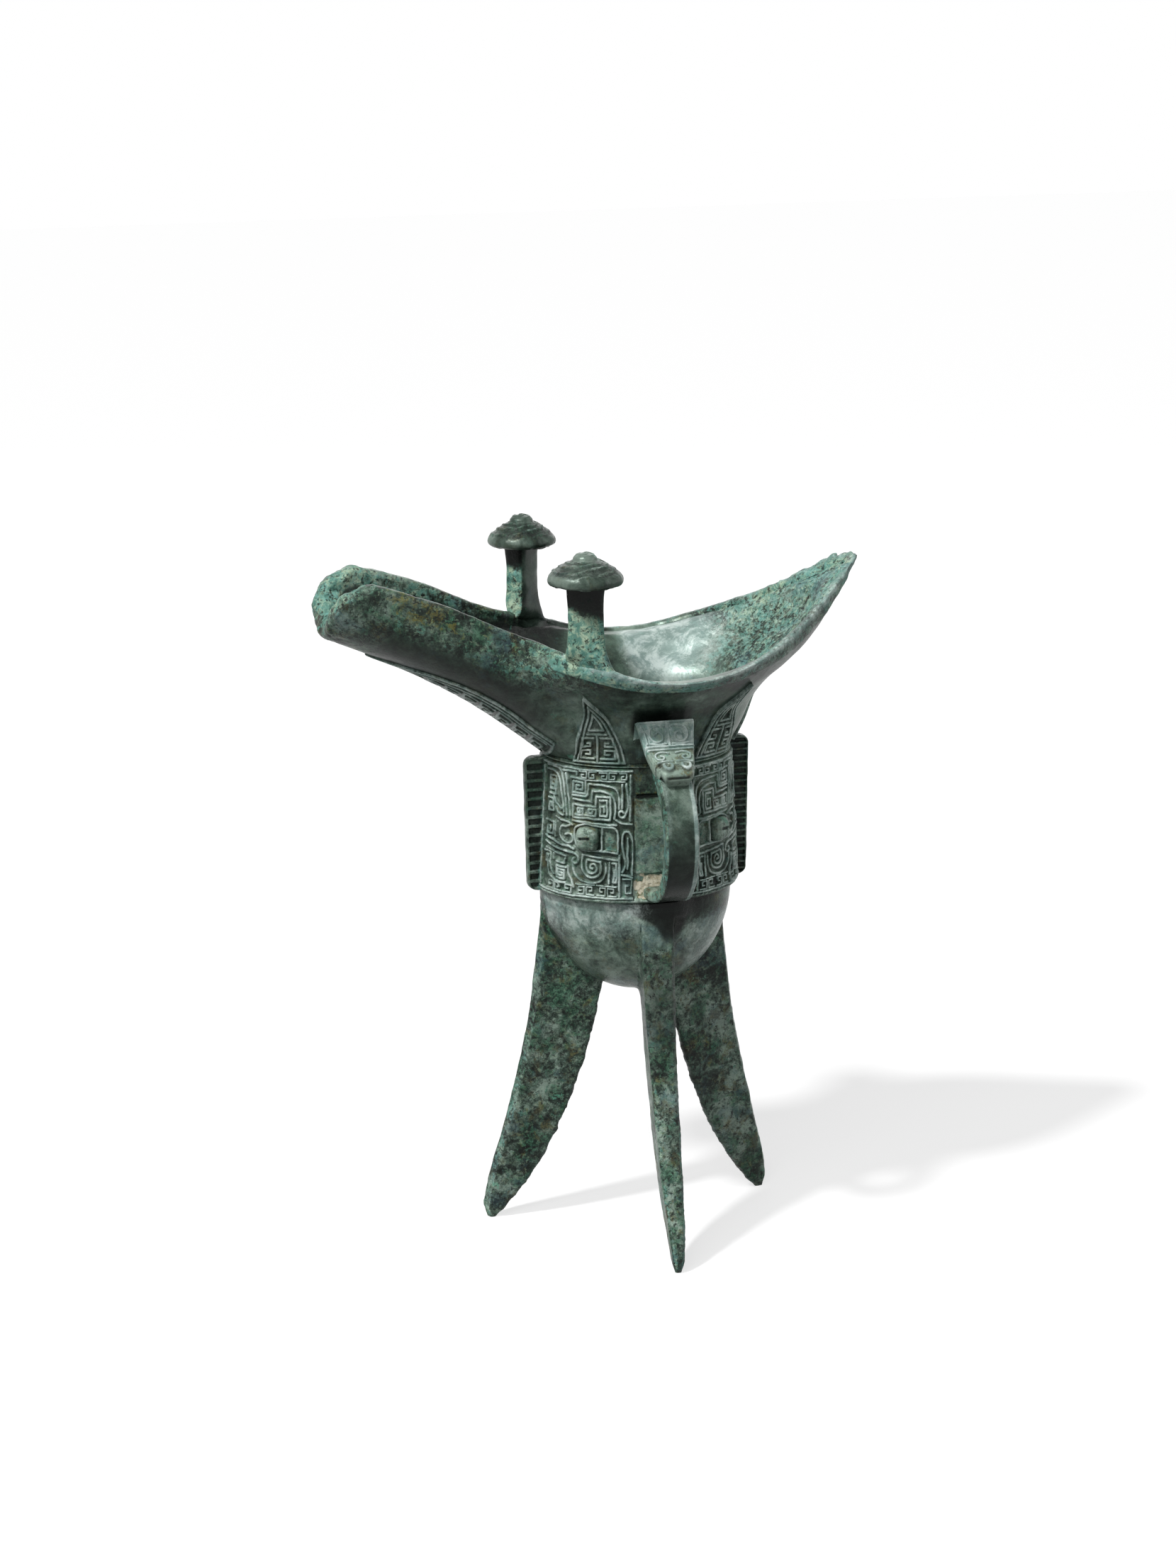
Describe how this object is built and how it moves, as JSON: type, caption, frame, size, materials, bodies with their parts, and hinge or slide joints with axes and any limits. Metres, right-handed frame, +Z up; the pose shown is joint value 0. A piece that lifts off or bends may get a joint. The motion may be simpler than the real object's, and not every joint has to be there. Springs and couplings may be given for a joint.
{
  "type": "bronze jue vessel",
  "caption": "Three-legged bronze pouring vessel with a long spout, a pointed tail, capped posts on the rim, a strap handle and cast relief bands.",
  "frame": {"origin": "middle of the vessel's box, on the surface it stands on", "axes": "+Z up; -X towards the spout, +X towards the tail; -Y towards the handle"},
  "size_m": [0.1506, 0.086, 0.2004],
  "materials": {
    "bronze_plain": "old bronze with a dark grey-green patina, smooth",
    "bronze_relief": "old bronze with a blue-green patina, cast relief"
  },
  "bodies": {
    "root": {"body_wall": "bronze_plain", "bowl": "bronze_plain", "cap_far": "bronze_relief", "cap_near": "bronze_relief", "flange_far_side": "bronze_relief", "flange_spout_side": "bronze_relief", "flange_tail_side": "bronze_relief", "handle_beast_head": "bronze_relief", "handle_strap": "bronze_plain", "leg_front": "bronze_plain", "leg_left": "bronze_plain", "leg_right": "bronze_plain", "mask_eye_far_left": "bronze_relief", "mask_eye_far_right": "bronze_relief", "mask_eye_near_left": "bronze_relief", "mask_eye_near_right": "bronze_relief", "mask_panel_far_left": "bronze_relief", "mask_panel_far_right": "bronze_relief", "mask_panel_near_left": "bronze_relief", "mask_panel_near_right": "bronze_relief", "mouth": "bronze_plain", "neck_blade_far_left": "bronze_relief", "neck_blade_far_right": "bronze_relief", "neck_blade_near_left": "bronze_relief", "neck_blade_near_right": "bronze_relief", "post_far": "bronze_plain", "post_near": "bronze_plain", "spout": "bronze_plain", "spout_blade": "bronze_relief", "tail": "bronze_plain", "tail_blade": "bronze_relief"}
  },
  "joints": []
}
